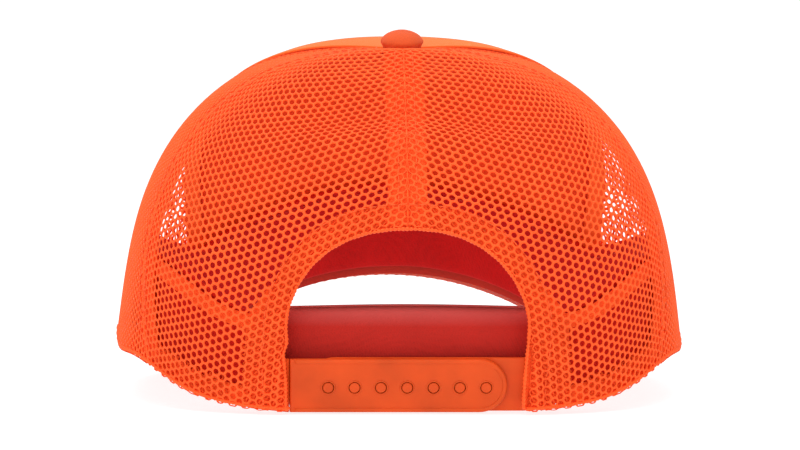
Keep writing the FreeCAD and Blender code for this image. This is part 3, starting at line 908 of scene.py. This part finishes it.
for side, way in SIDES:
    # the doubled strips take the darker net yarn, a painted shade
    hem = net(f"hem_{side}_net", side_flat, side_of(side_flat, hem_band), math.radians(8.0), 1.55, NET_SHADED,
              (-110, 90), (0, 30), origin=(0.9, 0.7), mirror=way < 0)
    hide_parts(f"hem_facing_{side}")
    arch = net(f"arch_{side}_net", back_flat, side_of(back_flat, arch_band), BACK_SLOPE, 1.5, NET_SHADED,
               (-60, 60), (0, 90), origin=(1.1, 0.8), mirror=way < 0)
    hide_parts("arch_facing")
    hem_angle = np.linspace(ARCH_EDGE_ANGLE + 0.5, FRONT_SEAM - 1.0, 160) * way
    hem_path = crown_point(hem_angle, 0.4, 0.95) + [0.0, 0.0, 0.35]
    hem_normals = crown_normal(hem_angle, 0.4)
    edge = bumpy_tube(f"hem_{side}_edge", hem_path, hem_normals, 0.6, 1.15, 0.16, PITCH / 2, NET)
    seam, fore = mirrored(mid_seam, way), mirrored(front_seam, way)
    band = tape(f"mid_seam_{side}_tape", seam, float(psi_at_height(MID_SEAM_HEM, 2.0)), 84.0, 15.0, TAPE)
    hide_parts(f"mid_seam_tape_{side}")
    front = tape(f"front_seam_{side}_tape", fore, 8.0, 84.0, 8.0, TAPE, shift=-4.4 * way)
    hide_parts(f"front_seam_tape_{side}")
    for label, line in (("mid", seam), ("front", fore)):
        path, normals = seam_line(line, BEAD_LOW, BEAD_HIGH, 0.0, 0.45)
        bead = bumpy_tube(f"{label}_seam_{side}_bead", path, normals, 0.5, 0.5, 0.14, 1.9, NET, 8)
        for number, away in enumerate((-2.9, 2.9)):
            path, normals = seam_line(line, BEAD_LOW + 3.0, BEAD_HIGH - 3.0, away, 0.0)
            row = stitches(f"{label}_seam_{side}_stitches_{number}", path, normals, THREAD)


def arch_turn(s, t, depth):
    """The inner turn of the arch's hem: one line along the arch for each row of t."""
    rows = []
    for share, down in zip(s, t):
        path = arch_line(0.5 + 7.2 * float(down[0]), depth, 200)[0]
        at = share * (len(path) - 1)
        low = np.minimum(at.astype(int), len(path) - 2)
        part = (at - low)[:, None]
        rows.append(path[low] * (1 - part) + path[low + 1] * part)
    return np.stack(rows)


def side_turn(way):
    """The part of the turned hem beside the strap."""
    def at(s, t, depth):
        z = 1.5 + 40.0 * t
        x = ARCH_HALF + 6.5 + (1.0 + 8.5 * smooth(z, 44.0, 28.0)) * s
        angle, psi = back_place(x, z)
        return crown_point(angle * way, psi, depth)
    return at


def hem_turn(way):
    """The turned part of the lower hem, from the arch's hem to the front seam."""
    start, end = ARCH_EDGE_ANGLE + 7.5, FRONT_SEAM - 1.5

    def at(s, t, depth):
        angle = start + (end - start) * s
        return crown_point(angle * way, psi_at_height(angle, 7.0 * t + 0.3), depth)
    return at


backing = closed_sheet("arch_hem_turn", arch_turn, 200, 7, 2.05, 2.45, TAPE)
for side, way in SIDES:
    closed_sheet(f"arch_{side}_turn", side_turn(way), 12, 24, 2.5, 2.9, TAPE)
for side, way in SIDES:
    closed_sheet(f"hem_{side}_turn", hem_turn(way), 150, 6, 2.05, 2.45, TAPE)

centre_low = float(psi_for_z(np.array(0.0), ARCH_TOP_Z + 1.5))
band = tape("back_seam_centre_tape", 0.0, centre_low, 84.0, 13.0, TAPE)
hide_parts("back_seam_tape")
path, normals = seam_line(0.0, centre_low, 86.0, 0.0, 0.8)
bead = bumpy_tube("back_seam_bead", path, normals, 0.38, 0.42, 0.12, 1.9, NET, 8)
for number, away in enumerate((-3.0, 3.0)):
    path, normals = seam_line(0.0, centre_low + 2.0, 83.0, away, 0.0)
    stitches(f"back_seam_stitches_{number}", path, normals, THREAD)
path, normals = arch_line(0.35, 0.95)
edge = bumpy_tube("arch_edge", path, normals, 0.5, 1.05, 0.3, PITCH / 2, NET)
path, normals = arch_line(7.4, -0.05)
stitches("arch_stitches", path, normals, THREAD)


# ---------------------------------------------------------------- foam front

def front_sheet(name, near, far, high, material, puff):
    """The front panel, from seam to seam, a little fuller between its seams."""
    def at(s, t, depth):
        psi = high * t
        start = front_seam(psi) + 0.15
        angle = start + (360 - 2 * start) * s
        edge = np.sin(np.pi * s) ** 0.5 * smooth(t, 0.05, 0.6) * smooth(t, 1.0, 0.9)
        ease = 0.25 * np.sin(s * 23 + t * 5) * np.sin(t * 17 - s * 4)
        return smooth_point(angle, psi, depth - (puff + puff * 0.3 * ease) * edge)
    return closed_sheet(name, at, 150, 110, near, far, material)


face = front_sheet("front_cloth", 0.0, 0.75, TOP_PSI, FACE_CLOTH, 0.35)
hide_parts("front_face_fabric")
foam = front_sheet("front_foam_sheet", 0.95, 4.3, 85.5, FOAM, 0.3)
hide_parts("front_foam")
for number, away in enumerate((3.0, 5.5)):
    for side, way in SIDES:
        path, normals = seam_line(mirrored(front_seam, way), 4.0, 72.0, away * way, -0.2)
        stitches(f"front_{side}_stitches_{number}", path, normals, THREAD)


# ---------------------------------------------------------------- sweatband

def band_ring(angles, profile, wave=0.0):
    """Points of a strip that follows the hem: profile is a list of (depth, height)."""
    rows = []
    away = np.abs((angles + 180) % 360 - 180)
    raised = 3.8 * smooth(away, 100.0, 150.0)
    taller = 9.0 * np.exp(-((away - 118.0) / 20.0) ** 2) - 3.0 * smooth(away, 45.0, 30.0)
    for depth, height in profile:
        k = min(max(height / BAND_HEIGHT, 0.0), 1.0)
        at = np.maximum(height + raised * (1 - k) + taller * k, 0.0)
        psi = psi_at_height(angles, at)
        ripple = wave * np.sin(angles * 0.31 + height * 0.05) * np.sin(angles * 0.093 + height * 0.11)
        rows.append(smooth_point(angles, psi, np.full_like(angles, depth) + ripple))
    return np.stack(rows)


def rounded_profile(outer, inner, low, high, bulge, steps=16):
    """A closed cross-section: outer face, rounded top, padded inner face, rounded bottom."""
    middle, radius = (outer + inner) / 2, (inner - outer) / 2
    heights = np.linspace(low + radius, high - radius, steps)
    k = (heights - low) / (high - low)
    puff = bulge * (np.sin(np.pi * np.clip(k * 1.25, 0, 1)) ** 0.7)
    points = [(outer, h) for h in heights]
    turn = np.linspace(math.pi, 0, 7)[1:-1]
    points += [(middle + radius * math.cos(a), high - radius + radius * math.sin(a)) for a in turn]
    points += [(inner + p, h) for p, h in zip(puff[::-1], heights[::-1])]
    points += [(middle - radius * math.cos(a), low + radius - radius * math.sin(a)) for a in turn]
    return points


def strip(name, points, material):
    """A piece from closed cross-sections: points[row, column], rows go round the section."""
    rows, columns = points.shape[:2]
    return add_object(name, points.transpose(1, 0, 2).reshape(-1, 3), tube_faces(columns, rows), material)


angles = np.linspace(28.5, 331.5, 340)
profile = rounded_profile(BAND_DEPTH, BAND_DEPTH + BAND_THICK + 0.5, -0.4, BAND_HEIGHT - 0.6, 0.7)
band = strip("sweatband_strip", band_ring(angles, profile, 0.35), BAND_FRONT)
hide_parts("sweatband")
profile = rounded_profile(3.4, 6.6, 0.3, BAND_HEIGHT - 1.5, 0.0)
pad = strip("sweatband_felt", band_ring(angles, profile, 0.1), PADDING)
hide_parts("sweatband_padding")
ridge = band_ring(angles, [(BAND_DEPTH + 0.9, BAND_HEIGHT - 0.9)], 0.35)[0]
ridge_up = np.tile([0.0, 0.0, 1.0], (len(ridge), 1))
fold = add_object("sweatband_fold", tube_points(ridge, ridge_up, 1.15, 0.95, 12),
                  tube_faces(len(ridge), 12), PADDING)
binding = band_ring(angles, rounded_profile(2.6, 3.1, BAND_HEIGHT - 6.0, BAND_HEIGHT - 0.5, 0.0, 5), 0.1)
strip("sweatband_binding", binding, TAPE)
height = BAND_HEIGHT - 3.4
path = band_ring(angles, [(BAND_DEPTH + BAND_THICK + 0.75, height)], 0.35)[0]
inward = -crown_normal(angles, psi_at_height(angles, height))
stitches("sweatband_stitches_0", path, inward, THREAD_RED, 2.4, 1.0)


def rear_band():
    """The sweatband's length behind the straps, with soft folds and a top that rolls inwards."""
    xs = np.linspace(-51.0, 51.0, 136)
    sag = 0.5 - 1.4 * (xs / 48.0) ** 2
    rows = []
    for y, z in rounded_profile(REAR_BAND_Y + REAR_BAND_THICK, REAR_BAND_Y, 0.6, REAR_BAND_TOP, 0.0):
        k = (z - 0.6) / REAR_BAND_TOP
        calm = min(max((REAR_BAND_TOP - z) / 10.0, 0.0), 1.0)
        fold = 0.5 * np.sin(xs / 13.0 + z / 9.0) * np.sin(z / 15.0) + 0.25 * np.sin(xs / 5.0 + z / 31.0)
        lean_in = max(0.0, (z - REAR_BAND_TOP) / 8.0 + 1.0) ** 2
        curve = REAR_BOW * (xs / 48.0) ** 4 + 4.5 * lean_in
        rows.append(np.stack([xs, y + calm * fold * 0.7 - curve, z + sag * k], -1))
    return np.stack(rows)


rear = strip("sweatband_rear_strip", rear_band(), REAR_CLOTH)
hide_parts("sweatband_rear")

root_angles = np.linspace(BRIM_END_ANGLE + 1, 359 - BRIM_END_ANGLE, 180)
root_rows = []
for depth, height in rounded_profile(5.0, 5.5, -0.1, 7.0, 0.0, 6):
    root_rows.append(smooth_point(root_angles, psi_at_height(root_angles, height), np.full(180, depth)))
# the binding takes the brim's darker twill, a painted shade
strip("brim_root_binding", np.stack(root_rows), BRIM_PAINTED_SHADE)


# ---------------------------------------------------------------- brim

def brim_edge(turn, shrink):
    """Plan point on the brim's outer edge, from -90 to 90 degrees."""
    half = BRIM_HALF - shrink
    tip_y = WIDEST_Y - FRONT_REACH - BRIM_LENGTH + shrink
    x = half * np.sign(turn) * np.abs(np.sin(turn)) ** (2 / BRIM_POWER)
    y = BRIM_WIDEST_Y + (tip_y - BRIM_WIDEST_Y) * np.maximum(np.cos(turn), 0) ** (2 / BRIM_POWER)
    return x, y


def brim_cloth():
    """The cloth over both faces of the brim and round its edge, as one closed skin."""
    across, along = 150, 60
    temple = smooth_point(np.array(BRIM_END_ANGLE), np.array(0.0), -BRIM_EDGE_STEP)
    turn = np.linspace(-math.pi / 2, math.pi / 2, across)
    ex, ey = brim_edge(turn * 0.985, 0.0)
    ends = smooth(np.abs(turn), math.radians(82), math.radians(90))
    ex = ex * (1 - ends) + np.sign(turn) * temple[0] * ends
    ey = ey * (1 - ends) + temple[1] * ends
    inner_angle = 180.0 - np.linspace(-1, 1, across) * (180 - BRIM_END_ANGLE)
    inner = smooth_point(inner_angle, np.zeros(across), np.full(across, -0.25))
    ix, iy = inner[:, 0], inner[:, 1]
    s = (1 - (1 - np.linspace(0, 1, along)) ** 1.6)[:, None]
    x, y = ix + (ex - ix) * s, iy + (ey - iy) * s
    gap = np.hypot(ex - x, ey - y)
    rounding = np.sqrt(np.clip(1 - (1 - np.clip(gap / 2.0, 0, 1)) ** 2, 0, 1))
    grooves = sum(0.16 * np.exp(-((gap - d) / 0.6) ** 2) for d in (6, 12, 18, 24, 30, 36, 42, 48))
    lift = HALF_BRIM * rounding
    top = np.stack([x, y, brim_z(x, y) + lift - grooves * (s > 0)], -1)
    under = np.stack([x, y, brim_z(x, y) - lift + grooves * (s > 0)], -1)
    points = np.concatenate([top.reshape(-1, 3), under.reshape(-1, 3)])
    piece = add_object("brim_cloth", points, skin_faces(along, across), BRIM_CLOTH)
    # the underside takes the darker twill: painted shade
    piece.data.materials.append(BRIM_PAINTED_SHADE)
    for polygon in piece.data.polygons:
        if min(polygon.vertices) >= across * along:
            polygon.material_index = 1
    return piece


brim = brim_cloth()
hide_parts("brim_top_cover", "brim_under_cover", "brim_board")
for number, shrink in enumerate((5.0, 12.0, 19.0, 26.0, 33.0, 40.0, 47.0)):
    turn = np.linspace(-1.40, 1.40, 160)
    x, y = brim_edge(turn, shrink)
    inner_x, inner_y = outline(180.0 - np.degrees(np.arctan2(x, -(y - WIDEST_Y))))
    clear = np.hypot(x, y - WIDEST_Y) > np.hypot(inner_x, inner_y - WIDEST_Y) + 2.5
    x, y = x[clear], y[clear]
    normal = np.stack([x / BRIM_RADIUS, np.full_like(x, -math.tan(math.radians(BRIM_FALL))),
                       np.ones_like(x)], -1)
    normal /= np.linalg.norm(normal, axis=1, keepdims=True)
    for label, way in (("top", 1), ("under", -1)):
        path = np.stack([x, y, brim_z(x, y) + way * (HALF_BRIM - 0.1)], -1)
        row = stitches(f"brim_stitches_{label}_{number}", path, normal * way, THREAD, 3.0, 0.9)


# ---------------------------------------------------------------- button

def button_cloth():
    """Cloth stretched over the shell: a flattened dome, drawn in under its rim in small folds."""
    around = 96
    section = [(0.02, BUTTON_HEIGHT), (1.2, BUTTON_HEIGHT - 0.06), (2.6, BUTTON_HEIGHT - 0.3),
               (4.0, BUTTON_HEIGHT - 0.75), (5.3, BUTTON_HEIGHT - 1.4), (6.3, BUTTON_HEIGHT - 2.15),
               (6.95, BUTTON_HEIGHT - 2.9), (7.28, 1.75), (7.3, 1.25), (7.1, 0.8), (6.8, 0.3), (6.5, -0.3),
               (6.4, -1.1), (6.3, -1.9)]
    turn = np.arange(around) / around * 2 * math.pi
    points = []
    for k, (radius, height) in enumerate(section):
        low = smooth(2.4 - height, 0.0, 2.2)
        fold = 1 + low * (0.018 * np.sin(turn * 17) + 0.012 * np.sin(turn * 29 + 1))
        points.append(np.stack([np.cos(turn) * radius * fold, np.sin(turn) * radius * fold,
                                np.full(around, height)], -1))
    points = np.array(points).reshape(-1, 3) + [0.0, APEX_Y, CROWN_HEIGHT + 1.2]
    # the darker button twill is a painted shade
    return add_object("button_cloth", points, tube_faces(len(section), around), BUTTON_SHADED_CLOTH)


button = button_cloth()
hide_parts("button_cover")
give(METAL, "button_shell", "button_rivet", "button_washer")


# ---------------------------------------------------------------- closure

def strap_outline(left, right, low, high, y):
    """The outline of a strap's face, round at its free end on the left and open at its root."""
    radius, middle = (high - low) / 2, (high + low) / 2
    corners = [(right, low), (left + radius, low)]
    corners += [(left + radius - radius * math.sin(a), middle - radius * math.cos(a))
                for a in np.linspace(0, math.pi, 40)[1:-1]]
    corners += [(left + radius, high), (right, high)]
    path = np.array([(x, y, z) for x, z in corners])
    lengths = run_lengths(path)
    return read_along(np.linspace(0, lengths[-1], RIM_POINTS), lengths, path)


def torus(name, centre, ring, thick, material, body):
    """A moulded ring that stands on a strap's outer face."""
    around, sides = 40, 10
    a = np.arange(around) / around * 2 * math.pi
    b = np.arange(sides) / sides * 2 * math.pi
    r = np.tile(ring + thick * np.cos(b), (around, 1))
    points = np.stack([np.cos(a)[:, None] * r, np.broadcast_to(thick * np.sin(b)[None, :], r.shape),
                       np.sin(a)[:, None] * r], -1).reshape(-1, 3) + centre
    faces = []
    for i in range(around):
        for j in range(sides):
            m, n = (i + 1) % around, (j + 1) % sides
            faces.append([i * sides + j, i * sides + n, m * sides + n, m * sides + j])
    return add_object(name, points, faces, material, body)


FACE_Y = STRAP_OUTER_Y + STRAP_THICK
RIM_INSET = 0.75
RIM_POINTS = 220
give(STRAP, "strap_outer", "strap_outer_root", "strap_inner")
back_way = np.tile([0.0, 1.0, 0.0], (RIM_POINTS, 1))
rim = strap_outline(-STRAP_FREE_END + RIM_INSET, HINGE_X - 1.2, STRAP_BOTTOM + RIM_INSET,
                    STRAP_BOTTOM + STRAP_HEIGHT - RIM_INSET, FACE_Y)
rim = add_object("strap_outer_rim", tube_points(rim, back_way, 0.72, 0.45, 10), tube_faces(RIM_POINTS, 10),
                 STRAP, "outer_strap")
for i in range(PEG_COUNT):
    x = (i - (PEG_COUNT - 1) / 2) * PEG_PITCH
    ring = torus(f"strap_outer_ring_{i}", [x, FACE_Y, PEG_Z], HOLE_R + 0.06, 0.26, STRAP, "outer_strap")


# ---------------------------------------------------------------- the sewn sheets, looked up by name

def cut(piece):
    """Look up one sewn sheet by its name."""
    return bpy.data.objects[piece]


for side in ("left", "right"):
    cut(f"mesh_back_{side}_net")
    cut(f"mesh_side_{side}_net")
    cut(f"hem_{side}_net")
    cut(f"hem_{side}_turn")
    cut(f"arch_{side}_net")
    cut(f"arch_{side}_turn")
    cut(f"front_seam_{side}_tape")
    cut(f"mid_seam_{side}_tape")
cut("arch_hem_turn")
cut("back_seam_centre_tape")
cut("front_cloth")
cut("brim_cloth")
cut("brim_root_binding")
cut("sweatband_binding")
cut("button_cloth")


# ---------------------------------------------------------------- floor, light and camera

def make_floor():
    """A plain pale floor under the cap."""
    size = 60.0
    corners = [(-size, -size, 0), (size, -size, 0), (size, size, 0), (-size, size, 0)]
    data = bpy.data.meshes.new("floor")
    data.from_pydata(corners, [], [(0, 1, 2, 3)])
    data.materials.append(floor_material())
    floor = bpy.data.objects.new("floor", data)
    bpy.context.scene.collection.objects.link(floor)


def soft_light(name, position, target, size, power):
    """A rectangular area light that faces its target."""
    data = bpy.data.lights.new(name, "AREA")
    data.shape = "RECTANGLE"
    data.size, data.size_y = size
    data.energy = power
    light = bpy.data.objects.new(name, data)
    bpy.context.scene.collection.objects.link(light)
    way = Vector(target) - Vector(position)
    light.matrix_world = Matrix.Translation(position) @ way.to_track_quat("-Z", "Y").to_matrix().to_4x4()


def make_light():
    """An even white surround, one soft light above and a weak one on the camera's side."""
    world = bpy.data.worlds.new("studio")
    bpy.context.scene.world = world
    world.use_nodes = True
    world.node_tree.nodes["Background"].inputs["Color"].default_value = (1.0, 1.0, 1.0, 1.0)
    world.node_tree.nodes["Background"].inputs["Strength"].default_value = 0.70
    soft_light("overhead", (0.1, 0.15, 1.3), (0, 0.02, 0.05), (1.3, 1.0), 12.0)
    soft_light("camera_side", (0.5, 1.5, 0.7), (0, 0.05, 0.06), (1.0, 0.8), 5.0)
    bpy.context.scene.view_settings.view_transform = "Standard"


def make_camera():
    """The camera stands behind the cap and a little above, and turned and rolled very slightly."""
    rise, yaw, roll = math.radians(15.6), math.radians(-2.02), math.radians(0.63)
    forward = np.array([math.sin(yaw) * math.cos(rise), -math.cos(yaw) * math.cos(rise), -math.sin(rise)])
    flat_right = np.cross(forward, [0, 0, 1])
    flat_right /= np.linalg.norm(flat_right)
    flat_up = np.cross(flat_right, forward)
    right = math.cos(roll) * flat_right + math.sin(roll) * flat_up
    up = math.cos(roll) * flat_up - math.sin(roll) * flat_right
    target, distance = np.array([3.1, 85.0, 64.3]), 1340.0
    data = bpy.data.cameras.new("camera")
    data.lens = 185.2
    data.sensor_width = 36.0
    data.clip_end = 200.0
    camera = bpy.data.objects.new("camera", data)
    bpy.context.scene.collection.objects.link(camera)
    columns = [lean(right), lean(up), lean(-forward), place(target - forward * distance)]
    camera.matrix_world = Matrix([[column[k] for column in columns] for k in range(3)] + [[0, 0, 0, 1]])
    bpy.context.scene.camera = camera


make_floor()
make_light()
make_camera()
